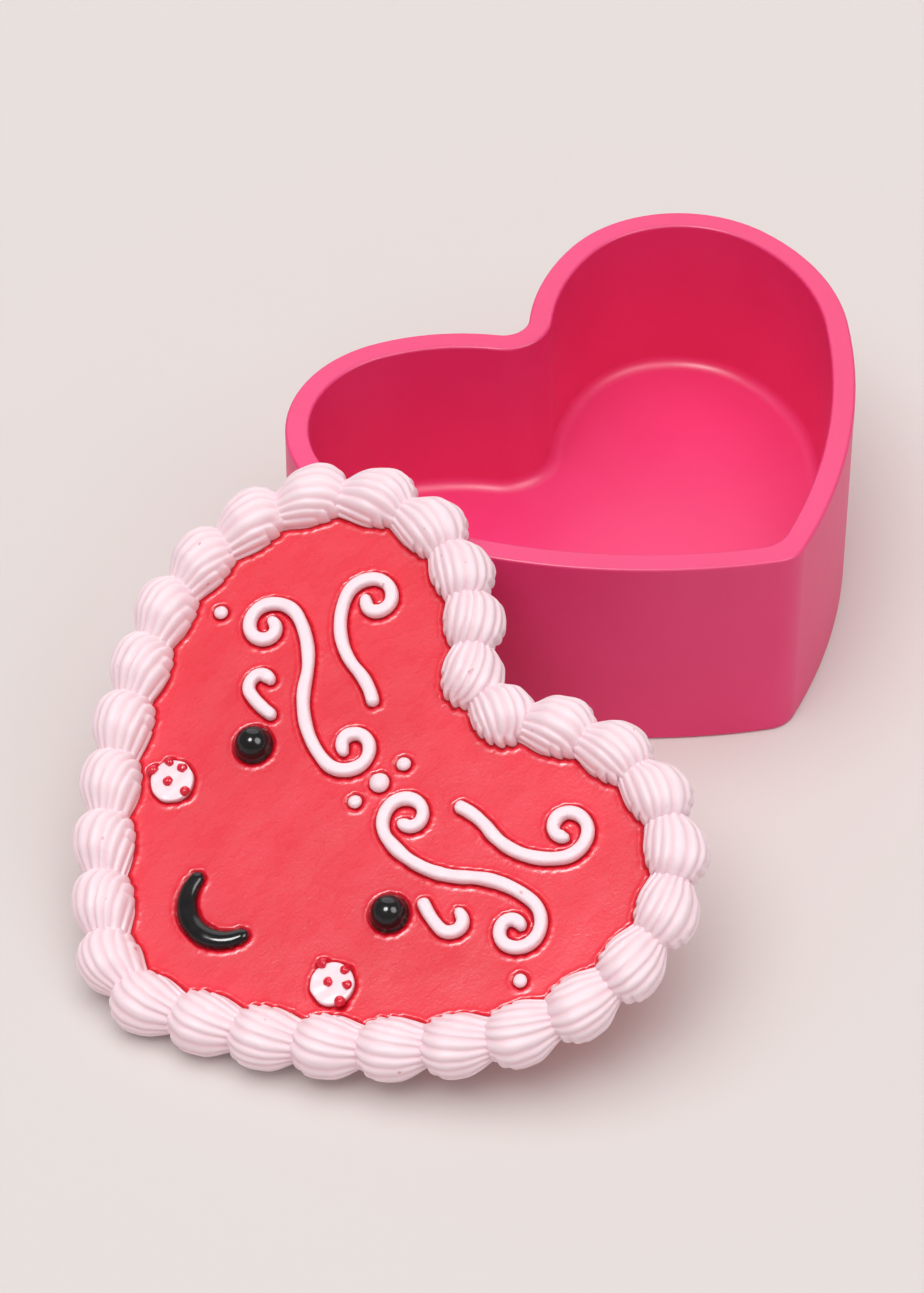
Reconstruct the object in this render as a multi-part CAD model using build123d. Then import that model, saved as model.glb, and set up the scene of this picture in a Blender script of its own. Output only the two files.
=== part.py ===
"""Heart-shaped trinket box: an open heart-shaped box, with its lid leaning on the box's rim.

Millimetres. Row frame: the box stands on z = 0 with its heart upright in plan, the heart's
tip towards -Y, its cleft towards +Y and its axis of symmetry at x = 0. The lid's pieces are
made in the lid's own frame (top face of the plate at z = 0, the heart as on the box) and are
then all moved together to where the lid leans.
"""
import os
from math import asin, atan2, cos, degrees, exp, pi, radians, sin, sqrt

from build123d import *

# ---- heart outline: circles that touch one another, right half, walked from tip to cleft
TIP_Y = -60.35
TIP_RADIUS = 6.7
TIP_TURN = 26.1
SIDE_RADIUS, SIDE_TURN = 123.5, 32.0
FLANK_RADIUS, FLANK_TURN = 42.5, 44.7
CROWN_RADIUS, CROWN_TURN = 27.2, 93.3
INNER_RADIUS = 46.3
CLEFT_RADIUS = 5.25

# ---- box
BOX_HEIGHT = 44.6
WALL = 4.6
BASE_THICKNESS = 8.2
CAVITY_TIP_RADIUS = 7.0
FLOOR_FILLET = 2.4
RIM_FILLET = 0.6
BASE_FILLET = 0.8

# ---- lid plate
PLATE_THICKNESS = 6.5
PLATE_INSET = 1.5
PLATE_FILLET = 0.5
REGISTER_DEPTH = 2.4
REGISTER_GAP = 1.2
SEAT_DEPTH = 0.5
SEAT_GAP = 0.15

# ---- piped border
SHELL_COUNT = 30
SHELL_RADIUS = 5.85
SHELL_TAIL_RADIUS = 4.6
SHELL_RAISE = 0.4
SHELL_GAP = 0.02
SHELL_LAG = 0.010
SHELL_LAG_AT, SHELL_LAG_SPAN = 0.62, 0.07

# ---- face on the lid
EYE_X, EYE_Y = 21.9, -13.0
EYE_RADIUS = 3.65
EYE_RAISE = 0.6
CHEEK_X, CHEEK_Y = 26.1, -29.0
CHEEK_RADIUS = 4.4
CHEEK_HEIGHT = 1.0
CHEEK_FILLET = 0.6
SMILE_Y = -35.4
SMILE_OUTER_RADIUS = 8.9
SMILE_INNER_RADIUS = 5.9
SMILE_INNER_RAISE = 0.9
SMILE_HALF_SPAN = 84.0
SMILE_HEIGHT = 1.7
SPRINKLE_RADIUS = 0.95
SPRINKLES = {
    "left": [(-0.3, -0.6), (-4.0, -1.5), (-3.3, 1.8), (-0.6, 3.0), (3.5, 0.7)],
    "right": [(-4.2, 0.9), (-0.5, 3.4), (-0.6, -0.3), (2.1, 2.0), (3.8, -0.9)],
}

# ---- piped scroll on the lid, right half: start, heading, then (radius, turn) of each arc
STROKE_WIDTH = 2.4
STROKE_HEIGHT = 1.6
STROKES = {
    "scroll": ((40.35, 3.37), 115.3,
               [(1.43, 90), (2.02, 90), (2.86, 90), (4.04, 90), (5.56, 75), (20.2, 38),
                (20.2, -50), (5.22, -70), (3.87, -90), (2.86, -90), (2.02, -90), (1.43, -60)]),
    "branch": ((13.0, 8.8), 28.0,
               [(16.0, -30), (15.0, 60), (5.2, 75), (3.8, 90), (2.8, 90), (2.0, 90), (1.5, 50)]),
    "curl": ((23.6, -6.7), -18.0,
             [(18.0, 22), (2.6, 85), (1.9, 90), (1.4, 60)]),
}
PEARLS = {
    "top": (0.0, 6.3, 1.3),
    "centre": (0.0, 0.6, 1.9),
    "bottom": (0.0, -5.1, 1.3),
    "left": (-48.0, -2.2, 1.3),
    "right": (48.0, -2.2, 1.3),
}

# ---- where the lid leans: its frame's origin, its turn about Z and its tilt
LEAN_X, LEAN_Y, LEAN_Z = -89.68, -48.35, 29.18
LEAN_YAW = -93.84
LEAN_TILT = 25.87
LEAN_UPHILL = 24.0


def heart_circles():
    """Centres and radii of the side, flank, crown and inner circles of the outline."""
    heading = 0.0
    point = Vector(0, TIP_Y)
    circles = []
    arcs = [(TIP_RADIUS, TIP_TURN), (SIDE_RADIUS, SIDE_TURN), (FLANK_RADIUS, FLANK_TURN),
            (CROWN_RADIUS, CROWN_TURN), (INNER_RADIUS, 0.0)]
    for radius, turn in arcs:
        centre = point + Vector(-sin(heading), cos(heading)) * radius
        circles.append((centre, radius))
        heading += radians(turn)
        point = centre + Vector(sin(heading), -cos(heading)) * radius
    return circles[1:]


def joint_point(circle_a, circle_b):
    """Where two circles touch, one inside the other."""
    large, small = sorted((circle_a, circle_b), key=lambda circle: -circle[1])
    return large[0] + (small[0] - large[0]).normalized() * large[1]


def half_outline(inset=0.0, tip_radius=None):
    """Right half of the heart, moved inwards by inset: a list of (start, middle, end) arcs."""
    circles = [(centre, radius - inset) for centre, radius in heart_circles()]
    side, inner = circles[0], circles[-1]
    tip_r = TIP_RADIUS - inset if tip_radius is None else tip_radius
    cleft_r = CLEFT_RADIUS + inset
    tip_y = side[0].Y - sqrt((side[1] - tip_r) ** 2 - side[0].X ** 2)
    cleft_y = inner[0].Y + sqrt((inner[1] + cleft_r) ** 2 - inner[0].X ** 2)
    tip = (Vector(0, tip_y), tip_r)
    cleft = (Vector(0, cleft_y), cleft_r)
    chain = [tip] + circles
    points = [Vector(0, tip_y - tip_r)]
    points += [joint_point(a, b) for a, b in zip(chain, chain[1:])]
    points.append(inner[0] + (cleft[0] - inner[0]).normalized() * inner[1])
    points.append(Vector(0, cleft_y - cleft_r))
    arcs = []
    for (centre, radius), start, end in zip(chain + [cleft], points, points[1:]):
        towards = ((start - centre) + (end - centre)).normalized()
        arcs.append((start, centre + towards * radius, end))
    return arcs


def heart_face(inset=0.0, tip_radius=None):
    """The whole heart as a face on the XY plane."""
    right = [ThreePointArc(*arc) for arc in half_outline(inset, tip_radius)]
    left = [mirror(arc, about=Plane.YZ) for arc in right]
    return make_face(right + left)


def heart_wire():
    """The outline from the tip, anticlockwise, as one wire."""
    arcs = half_outline()
    flipped = [tuple(Vector(-p.X, p.Y) for p in reversed(arc)) for arc in reversed(arcs)]
    return Wire([ThreePointArc(*arc) for arc in arcs + flipped])


def make_box():
    """The box: one heart-shaped casting with a flat rim and a rounded floor edge."""
    body = extrude(heart_face(), BOX_HEIGHT)
    cavity = extrude(heart_face(WALL, CAVITY_TIP_RADIUS), BOX_HEIGHT)
    cavity = fillet(cavity.faces().sort_by(Axis.Z)[0].edges(), FLOOR_FILLET)
    body -= Pos(0, 0, BASE_THICKNESS) * cavity
    body = fillet(body.faces().sort_by(Axis.Z)[-1].edges(), RIM_FILLET)
    return fillet(body.faces().sort_by(Axis.Z)[0].edges(), BASE_FILLET)


def seat(x, y, radius):
    """A shallow round seat for a piece that is set into the plate."""
    return Pos(x, y, -SEAT_DEPTH) * extrude(Circle(radius + SEAT_GAP), 2 * SEAT_DEPTH)


def make_plate():
    """The lid's heart-shaped plate, with the raised register that drops into the box."""
    plate = Pos(0, 0, -PLATE_THICKNESS) * extrude(heart_face(PLATE_INSET), PLATE_THICKNESS)
    plate = fillet(plate.faces().sort_by(Axis.Z)[0].edges(), PLATE_FILLET)
    register = heart_face(WALL + REGISTER_GAP, CAVITY_TIP_RADIUS)
    plate += Pos(0, 0, -PLATE_THICKNESS - REGISTER_DEPTH) * extrude(register, REGISTER_DEPTH)
    for side in (-1, 1):
        plate -= seat(side * EYE_X, EYE_Y, EYE_RADIUS)
        plate -= seat(side * CHEEK_X, CHEEK_Y, CHEEK_RADIUS)
    return plate


def shell_share(i):
    """A shell's place as a share of the outline: evenly spaced, but lagging a little after the cleft."""
    share = (i + 0.5) / SHELL_COUNT
    return share - SHELL_LAG * exp(-((share - SHELL_LAG_AT) / SHELL_LAG_SPAN) ** 2)


def make_shells():
    """The piped border: each shell's round head lies on the tail of the shell before it."""
    outline = heart_wire()
    under = Pos(0, 0, -2 * PLATE_THICKNESS) * extrude(heart_face(PLATE_INSET - SHELL_GAP),
                                                      2 * PLATE_THICKNESS)
    spots = [outline.position_at(shell_share(i)) for i in range(SHELL_COUNT)]
    shells = {}
    for i, spot in enumerate(spots):
        after = spots[(i + 1) % SHELL_COUNT]
        pitch = (after - spot).length
        slope = asin((SHELL_RADIUS - SHELL_TAIL_RADIUS) / pitch)
        shoulder = (SHELL_RADIUS * sin(slope), SHELL_RADIUS * cos(slope))
        side = (-SHELL_RADIUS * sin(pi / 4), SHELL_RADIUS * sin(pi / 4))
        profile = make_face([
            ThreePointArc((-SHELL_RADIUS, 0), side, shoulder),
            Line(shoulder, (pitch, SHELL_TAIL_RADIUS)),
            Line((pitch, SHELL_TAIL_RADIUS), (pitch, 0)),
            Line((pitch, 0), (-SHELL_RADIUS, 0)),
        ])
        drop = Rot(90, 0, 0) * revolve(profile, Axis.X)
        angle = degrees(atan2(after.Y - spot.Y, after.X - spot.X))
        drop = Pos(spot.X, spot.Y, SHELL_RAISE) * Rot(0, 0, angle) * drop - under
        next_head = Pos(after.X, after.Y, SHELL_RAISE) * Sphere(SHELL_RADIUS + SHELL_GAP)
        shells[f"shell_{i + 1:02d}"] = drop - next_head
    return shells


def block_below(radius):
    """A block under z = 0, wide enough to cut the foot of a ball of the given radius flat."""
    side = 4 * radius
    return Pos(0, 0, -side / 2) * Box(side, side, side)


def make_eye(side):
    """A round bead with a flat foot that sits in its seat."""
    bead = Pos(0, 0, EYE_RAISE) * Sphere(EYE_RADIUS)
    bead -= Pos(0, 0, -SEAT_DEPTH) * block_below(EYE_RADIUS)
    return Pos(side * EYE_X, EYE_Y, 0) * bead


def sprinkle_spheres(name):
    """The small drops on one cheek, as whole spheres."""
    sign = {"left": -1, "right": 1}[name]
    spots = [(sign * CHEEK_X + x, CHEEK_Y + y) for x, y in SPRINKLES[name]]
    return [Pos(x, y, CHEEK_HEIGHT) * Sphere(SPRINKLE_RADIUS) for x, y in spots]


def make_cheek(name):
    """A low round disc, with a dimple for each drop."""
    sign = {"left": -1, "right": 1}[name]
    disc = extrude(Circle(CHEEK_RADIUS), CHEEK_HEIGHT + SEAT_DEPTH)
    disc = fillet(disc.faces().sort_by(Axis.Z)[-1].edges(), CHEEK_FILLET)
    disc = Pos(sign * CHEEK_X, CHEEK_Y, -SEAT_DEPTH) * disc
    for drop in sprinkle_spheres(name):
        disc -= drop
    return disc


def make_smile():
    """A crescent, thickest at the bottom, with rounded ends."""
    ends = {}
    for name, radius, raised in (("outer", SMILE_OUTER_RADIUS, 0.0),
                                 ("inner", SMILE_INNER_RADIUS, SMILE_INNER_RAISE)):
        span = radians(SMILE_HALF_SPAN)
        ends[name] = Vector(radius * sin(span), raised - radius * cos(span))
    outer, inner = ends["outer"], ends["inner"]
    tip = (outer + inner) * 0.5 + Vector(-(outer - inner).Y, (outer - inner).X) * 0.5
    mirrored = [Vector(-p.X, p.Y) for p in (outer, tip, inner)]
    face = make_face([
        ThreePointArc(mirrored[0], (0, -SMILE_OUTER_RADIUS), outer),
        ThreePointArc(outer, tip, inner),
        ThreePointArc(inner, (0, SMILE_INNER_RAISE - SMILE_INNER_RADIUS), mirrored[2]),
        ThreePointArc(mirrored[2], mirrored[1], mirrored[0]),
    ])
    return Pos(0, SMILE_Y, 0) * extrude(face, SMILE_HEIGHT)


def stroke_arcs(start, heading, arcs):
    """Walk a chain of tangent arcs: (centre, radius, start angle, swept angle), degrees."""
    point = Vector(*start)
    walked = []
    for radius, turn in arcs:
        side = 1 if turn > 0 else -1
        normal = heading + side * 90
        centre = point + Vector(cos(radians(normal)), sin(radians(normal))) * radius
        walked.append((centre, radius, normal + 180, turn))
        heading += turn
        ray = heading - side * 90
        point = centre + Vector(cos(radians(ray)), sin(radians(ray))) * radius
    return walked, point


def arc_band(centre, radius, angle, turn, half_width):
    """The flat band that a stroke of the given half width covers along one arc."""
    rays = [Vector(cos(radians(a)), sin(radians(a))) for a in (angle, angle + turn / 2, angle + turn)]
    outer = [centre + ray * (radius + half_width) for ray in rays]
    inner = [centre + ray * (radius - half_width) for ray in rays]
    return make_face([ThreePointArc(*outer), Line(outer[2], inner[2]),
                      ThreePointArc(*reversed(inner)), Line(inner[0], outer[0])])


def make_stroke(start, heading, arcs):
    """One piped stroke with round ends, standing on the plate."""
    half_width = STROKE_WIDTH / 2
    walked, end = stroke_arcs(start, heading, arcs)
    bands = [arc_band(*arc, half_width) for arc in walked]
    flat = bands[0]
    for band in bands[1:]:
        flat += band
    for spot in (Vector(*start), end):
        flat += Pos(spot.X, spot.Y) * Circle(half_width)
    return extrude(flat, STROKE_HEIGHT)


def make_pearl(x, y, radius):
    """A piped dot: a dome on the plate."""
    return Pos(x, y, 0) * (Sphere(radius) - block_below(radius))


def make_lid():
    """Every piece of the lid, in the lid's own frame."""
    plate = make_plate()
    pieces = {"lid_plate": plate}
    pieces.update(make_shells())
    pieces["smile"] = make_smile()
    for name, sign in (("left", -1), ("right", 1)):
        pieces[f"eye_{name}"] = make_eye(sign)
        pieces[f"cheek_{name}"] = make_cheek(name)
        for i, drop in enumerate(sprinkle_spheres(name)):
            pieces[f"sprinkle_{name}_{i + 1}"] = drop - plate
    for name, (start, heading, arcs) in STROKES.items():
        stroke = make_stroke(start, heading, arcs)
        pieces[f"{name}_right"] = stroke
        pieces[f"{name}_left"] = mirror(stroke, about=Plane.YZ)
    for name, (x, y, radius) in PEARLS.items():
        pieces[f"pearl_{name}"] = make_pearl(x, y, radius)
    return pieces


def lean():
    """The move from the lid's own frame to where the lid leans."""
    axis = LEAN_UPHILL - 90
    return (Pos(LEAN_X, LEAN_Y, LEAN_Z) * Rot(0, 0, axis) * Rot(LEAN_TILT, 0, 0)
            * Rot(0, 0, LEAN_YAW - axis))


def main():
    """Write one STEP file for each piece."""
    os.makedirs("parts", exist_ok=True)
    pieces = {"box_body": make_box()}
    where = lean()
    for name, piece in make_lid().items():
        pieces[name] = where * piece
    for name, piece in pieces.items():
        export_step(piece, f"parts/{name}.step")


main()
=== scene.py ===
"""Looks of the heart-shaped trinket box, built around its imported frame.

Metres, in the row frame: the box stands on z = 0, its tip towards -Y and its cleft towards +Y.
The lid's pieces are worked out in the lid's own frame (top face of the plate at z = 0, X to the
right lobe, Y to the cleft) and their points are then turned into the row frame.
"""
import cmath
import math

import bmesh
import bpy
import numpy as np
from mathutils import Matrix, Vector, kdtree


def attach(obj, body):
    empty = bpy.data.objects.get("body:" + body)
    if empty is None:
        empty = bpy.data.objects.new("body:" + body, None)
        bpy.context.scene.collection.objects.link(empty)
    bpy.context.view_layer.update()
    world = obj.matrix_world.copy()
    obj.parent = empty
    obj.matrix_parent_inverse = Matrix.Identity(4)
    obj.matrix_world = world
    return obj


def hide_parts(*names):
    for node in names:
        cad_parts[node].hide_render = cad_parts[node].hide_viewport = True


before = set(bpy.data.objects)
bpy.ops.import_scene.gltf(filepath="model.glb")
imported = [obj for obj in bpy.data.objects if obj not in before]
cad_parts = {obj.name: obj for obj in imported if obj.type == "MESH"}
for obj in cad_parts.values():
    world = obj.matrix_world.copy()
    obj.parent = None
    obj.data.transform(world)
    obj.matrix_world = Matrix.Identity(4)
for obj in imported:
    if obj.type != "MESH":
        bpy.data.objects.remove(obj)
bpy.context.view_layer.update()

MM = 0.001

# ---- heart outline, right half from tip to cleft: (radius, turn in degrees) of touching circles
TIP_Y = -60.35 * MM
TIP_RADIUS = 6.7 * MM
TIP_TURN = 26.1
ARCS = ((123.5 * MM, 32.0), (42.5 * MM, 44.7), (27.2 * MM, 93.3), (46.3 * MM, 0.0))
CLEFT_RADIUS = 5.25 * MM
OUTLINE_STEP = 0.25 * MM

# ---- lid plate: a groove runs round whatever stands on it between the contact heights
PLATE_THICKNESS = 6.5 * MM
PLATE_INSET = 1.5 * MM
PLATE_EDGE = 0.4 * MM
PLATE_CELL = 0.32 * MM
PLATE_WAVE, PLATE_WAVE_SIZE = 0.035 * MM, 14 * MM
RAGGED_SEED, WAVE_SEED = 6, 7
CONTACT_LOW, CONTACT_HIGH = -0.6 * MM, 1.4 * MM
GROOVE_DEPTH = 0.34 * MM
GROOVE_FLOOR = 0.20 * MM
GROOVE_REACH = 0.58 * MM
GROOVE_RAGGED, GROOVE_RAGGED_SIZE = 0.10 * MM, 1.6 * MM
LIP_HEIGHT = 0.12 * MM
LIP_WIDTH = 0.26 * MM
EDGE_ROUNDING = 0.3

# ---- register, the step under the plate
REGISTER_DEPTH = 2.4 * MM
REGISTER_INSET = 5.8 * MM
REGISTER_TIP_RADIUS = 7.0 * MM
REGISTER_EDGE = 0.4 * MM
REGISTER_OVERLAP = 0.1 * MM
REGISTER_COLUMNS = 480

# ---- piped border: places along it, which lag a little on the left lobe
SHELL_COUNT = 30
SHELL_LAG = 0.010
SHELL_LAG_AT, SHELL_LAG_SPAN = 0.62, 0.07

# ---- smooth shell: X from its head's middle to the next head, Y inwards over the plate
SHELL_HEAD = 5.85 * MM
SHELL_NECK = 3.4 * MM
SHELL_NECK_SHORT = 2.6 * MM
SHELL_END_SHARE = 0.8
SHELL_TAPER = (0.22, 1.05)
SHELL_RAISE = 0.3 * MM
SHELL_SINK = 0.9 * MM
SHELL_DRIFT = 0.95 * MM
SHELL_WOBBLE, SHELL_WOBBLE_SIZE = 0.08 * MM, 7 * MM
SHELL_ROWS = 74

# ---- ridges: they meet at the tail, placed from the next head's middle, and at the head's curl
TAIL_PLACE = (1.0 * MM, 0.2 * MM, -2.9 * MM)
CURL_PLACE = (0.6 * MM, 4.4 * MM, -3.4 * MM)
CURL_SCATTER = 0.3 * MM
CORE_SHARE = 0.45
RIDGE_COUNT = 16
RIDGE_COLUMNS = 8
RIDGE_DEPTH = 0.46 * MM
RIDGE_DEPTH_VARIES = (0.85, 1.15)
RIDGE_ONSET = (0.1 * MM, 2.6 * MM)
RIDGE_ROUNDING = 0.06
RIDGE_TWIST = (-0.02, 0.05)
RIDGE_UNEVEN = ((0.010, 2), (0.006, 5))
GIRDLE_STEPS = 721
BISECTIONS = 26

# ---- ridge tips round the head's foot: bearings in degrees, 0 over the plate and 90 in front
TIP_SPACING = 23.0
TIP_START = (-28, -8)
TIP_END = (135, 165)
TIP_PLATE_END = (55, 85)
TIP_LEVEL = (0.9 * MM, 3.2 * MM)
TIP_LEVEL_RISE = 0.6 * MM
TIP_DEPTH = 0.75 * MM
TIP_PUSH = 0.45 * MM
TIP_ROUNDNESS = 0.7
TIP_SHIFT = (-0.3, 0.3)

# ---- eyes
EYE_Y = -13.0 * MM
EYE_RADIUS = 3.65 * MM
EYE_RAISE = 0.6 * MM
EYE_COLLAR = 0.35 * MM
EYE_COLLAR_FOOT = 0.6
EYE_COLLAR_STEP = 0.12 * MM
EYE_DOME_INSET = 0.2 * MM
EYE_FOOT, EYE_FOOT_SHARE = 0.4 * MM, 0.9
EYE_FOOT_BEVEL = 0.1 * MM
EYE_SEGMENTS = 72
EYE_WOBBLE, EYE_WOBBLE_SIZE = 0.006, 5 * MM
EYE_SEED = 80

# ---- cheeks and the drops on them
CHEEK_HEIGHT = 1.0 * MM
CHEEK_SHARE = 0.93
CHEEK_EDGE = 0.45 * MM
CHEEK_FOOT, CHEEK_FOOT_SHARE = 0.3 * MM, 0.5
CHEEK_RINGS = (0.75, 0.6, 0.45, 0.3, 0.15)
CHEEK_SEGMENTS = 96
CHEEK_OUTLINE_WOBBLE, CHEEK_OUTLINE_WOBBLE_SIZE = 0.014, 0.9
CHEEK_TOP_WOBBLE, CHEEK_TOP_WOBBLE_SIZE = 0.05 * MM, 3 * MM
CHEEK_SEED = 90
DROPS_PER_CHEEK = 5
DROP_GROWTH = (1.0, 1.15)
DROP_HEIGHT_SHARE = 0.9
DROP_ROWS = 15
DROP_SEGMENTS = 28
DROP_FLATS = 7
DROP_FLAT_FROM = (0.72, 0.86)
DROP_FLAT_SHARE = 0.8

# ---- smile
SMILE_Y = -35.4 * MM
SMILE_OUTER_RADIUS = 8.9 * MM
SMILE_INNER_RADIUS = 5.9 * MM
SMILE_INNER_RAISE = 0.9 * MM
SMILE_HALF_SPAN = 84.0
SMILE_HEIGHT = 1.7 * MM
SMILE_TAPER = 0.2
SMILE_ROUGH, SMILE_FLAT = 0.015, 0.9
SMILE_STEPS = 90
SMILE_END_STEPS = 8
SMILE_END_NEAR, SMILE_END_FAR = 0.3, 2.2
SMILE_SEED = 60

# ---- piped beads: an arch with a row of foot points under it
BEAD_STEPS = 18
BEAD_ROUGH, BEAD_ROUGH_SIZE = 0.04, 6 * MM
BEAD_FLAT = 0.62
BEAD_END_RISE = 0.25
BEAD_FOOT_POINTS = 4
BEAD_FOOT_SHARE = 0.8
BEAD_FOOT_DEPTH = 0.24 * MM

# ---- piped dots
PEARL_FOOT, PEARL_FOOT_SHARE, PEARL_BASE_SHARE = 0.2 * MM, 0.8, 0.98
PEARL_RISE = 0.8
PEARL_PEAK = 0.86
PEARL_SHOULDER = 0.9
PEARL_LEAN = (0.10, -0.06)
PEARL_WOBBLE, PEARL_WOBBLE_SHARE = 0.04, 2.5
PEARL_SEGMENTS = 40
PEARL_SEED = 70

# ---- piped scroll, right half: start and heading, then (radius, turn) of each arc, millimetres
STROKE_WIDTH = 2.4 * MM
STROKE_HEIGHT = 1.6 * MM
STROKE_SEED = 50
STROKES = {
    "scroll": ((40.35, 3.37), 115.3,
               [(1.43, 90), (2.02, 90), (2.86, 90), (4.04, 90), (5.56, 75), (20.2, 38),
                (20.2, -50), (5.22, -70), (3.87, -90), (2.86, -90), (2.02, -90), (1.43, -60)]),
    "branch": ((13.0, 8.8), 28.0,
               [(16.0, -30), (15.0, 60), (5.2, 75), (3.8, 90), (2.8, 90), (2.0, 90), (1.5, 50)]),
    "curl": ((23.6, -6.7), -18.0,
             [(18.0, 22), (2.6, 85), (1.9, 90), (1.4, 60)]),
}

# ---- paints, in linear light
RESIN_DEEP = (0.80, 0.030, 0.162, 1)
RESIN_PALE = (0.84, 0.042, 0.190, 1)
GLAZE_DEEP = (0.79, 0.007, 0.028, 1)
GLAZE_PALE = (0.87, 0.014, 0.045, 1)
GLAZE_MOTTLE = (0.68, 0.004, 0.018, 1)
# painted shade: the dark red the glaze takes down in the groove round each raised piece
GLAZE_GROOVE_SHADE = (0.50, 0.002, 0.010, 1)
ICING_PALE = (0.93, 0.74, 0.79, 1)
ICING_WARM = (0.91, 0.70, 0.755, 1)
# painted shade: the darker, pinker icing down between the ridges and between the tips
ICING_GROOVE_SHADE = (0.88, 0.61, 0.665, 1)
# painted shade: the darker colour inside the pinholes
ICING_PINHOLE_SHADE = (0.78, 0.42, 0.48, 1)
BLACK_DEEP = (0.004, 0.003, 0.004, 1)
BLACK_PALE = (0.009, 0.007, 0.008, 1)
DROP_DEEP = (0.62, 0.002, 0.020, 1)
DROP_PALE = (0.80, 0.008, 0.045, 1)
FLOOR_TONE = (0.692, 0.642, 0.623, 1)
FLOOR_GLOW = 0.06
FLOOR_HALF_SIDE = 6.0

# ---- the middle band of a noise, which paints stretch over their own range
NOISE_BAND = (0.3, 0.7)

# ---- studio: each light's direction, irradiance and width in degrees
WORLD_LIGHT = 0.40
SOFT_LIGHTS = {
    "key": ((0.216, -0.667, 0.713), 0.25, 36),
    "fill": ((-0.465, -0.164, 0.870), 0.30, 27),
    "top": ((-0.1, 0.0, 1.0), 1.75, 62),
}
GLINTS = {
    "key_glint": ((0.216, -0.667, 0.713), 2.2, 38),
    "fill_glint": ((-0.465, -0.164, 0.870), 3.0, 22),
    "back_glint": ((0.449, 0.574, 0.688), 1.15, 60),
}

# ---- camera
CAMERA_TARGET = Vector((-35.8 * MM, -4.27 * MM, 0))
CAMERA_DISTANCE = 967.4 * MM
CAMERA_HEADING = math.atan2(0.612, 0.791)
CAMERA_ELEVATION = math.radians(43.45)
CAMERA_LENS = 136.2
CAMERA_SENSOR = 36
CAMERA_REACH = 20


# ==== frame and outline ====

def ball_centre(node):
    """Centre of the sphere that a round CAD node's points lie on."""
    points = np.array([v.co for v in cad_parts[node].data.vertices], float)
    system = np.hstack([2 * points, np.ones((len(points), 1))])
    return Vector(np.linalg.lstsq(system, (points ** 2).sum(1), rcond=None)[0][:3])


def lid_frame():
    """The lid's own frame at rest, read from the plate's flat top and the two round eyes."""
    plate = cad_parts["lid_plate"].data
    top = max((p for p in plate.polygons if p.normal.z > 0), key=lambda p: p.area)
    up = top.normal.copy()
    left, right = ball_centre("eye_left"), ball_centre("eye_right")
    across = (right - left).normalized()
    along = up.cross(across)
    origin = (left + right) / 2 - along * EYE_Y
    origin -= up * (origin - top.center).dot(up)
    matrix = Matrix((across, along, up)).transposed().to_4x4()
    matrix.translation = origin
    return matrix, (right - left).length / 2


LID, EYE_X = lid_frame()
TO_LID = LID.inverted()


def arc_points(centre, radius, start, sweep):
    """Points along an arc, without its last one, about OUTLINE_STEP apart."""
    count = max(2, int(abs(sweep) * radius / OUTLINE_STEP))
    return [centre + radius * cmath.exp(1j * (start + sweep * i / count)) for i in range(count)]


def heart_outline(inset=0.0, tip_radius=None):
    """The heart moved inwards by inset, from the tip anticlockwise, as complex numbers."""
    heading, point, circles = 0.0, complex(0, TIP_Y), []
    for radius, turn in ((TIP_RADIUS, TIP_TURN),) + ARCS:
        centre = point + radius * 1j * cmath.exp(1j * heading)
        circles.append((centre, radius - inset))
        heading += math.radians(turn)
        point = centre - radius * 1j * cmath.exp(1j * heading)
    side, inner = circles[1], circles[-1]
    tip_r = TIP_RADIUS - inset if tip_radius is None else tip_radius
    cleft_r = CLEFT_RADIUS + inset
    tip_y = side[0].imag - math.sqrt((side[1] - tip_r) ** 2 - side[0].real ** 2)
    cleft_y = inner[0].imag + math.sqrt((inner[1] + cleft_r) ** 2 - inner[0].real ** 2)
    chain = [(complex(0, tip_y), tip_r)] + circles[1:]
    rays = []
    for (c1, r1), (c2, r2) in zip(chain, chain[1:]):
        way = (c2 - c1) if r1 > r2 else (c1 - c2)
        rays.append(cmath.phase(way))
    last = cmath.phase(complex(0, cleft_y) - inner[0])
    ends = [-math.pi / 2] + rays + [last]
    points = []
    for (centre, radius), start, end in zip(chain, ends, ends[1:]):
        sweep = (end - start + math.pi) % (2 * math.pi) - math.pi
        points += arc_points(centre, radius, start, sweep)
    start = last + math.pi
    points += arc_points(complex(0, cleft_y), cleft_r, start, math.pi * 1.5 - start)
    half = np.array(points)
    return np.concatenate([half, [complex(0, cleft_y - cleft_r)], -np.conj(half[:0:-1])])


def walk(outline, shares):
    """Points at the given shares of a closed outline's length."""
    closed = np.append(outline, outline[0])
    length = np.concatenate([[0], np.cumsum(np.abs(np.diff(closed)))])
    at = np.asarray(shares) * length[-1]
    return np.interp(at, length, closed.real) + 1j * np.interp(at, length, closed.imag)


# ==== mesh helpers ====

def smooth(low, high, value):
    """0 below low, 1 above high, with an even S between."""
    t = np.clip((value - low) / (high - low), 0, 1)
    return t * t * (3 - 2 * t)


def wobble(points, size, seed):
    """Smooth uneven height over points, about -1 to 1, with bumps of the given size."""
    rng = np.random.default_rng(seed)
    total = np.zeros(len(points))
    waves = 7
    for _ in range(waves):
        way = rng.normal(size=points.shape[1])
        way *= 2 * math.pi / (size * np.linalg.norm(way)) * rng.uniform(0.7, 1.4)
        total += np.sin(points @ way + rng.uniform(0, 2 * math.pi))
    return total / math.sqrt(waves)


def to_row(points):
    """Points of the lid's own frame, in the row frame."""
    turn = np.array(LID.to_3x3())
    return np.asarray(points) @ turn.T + np.array(LID.translation)


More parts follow.
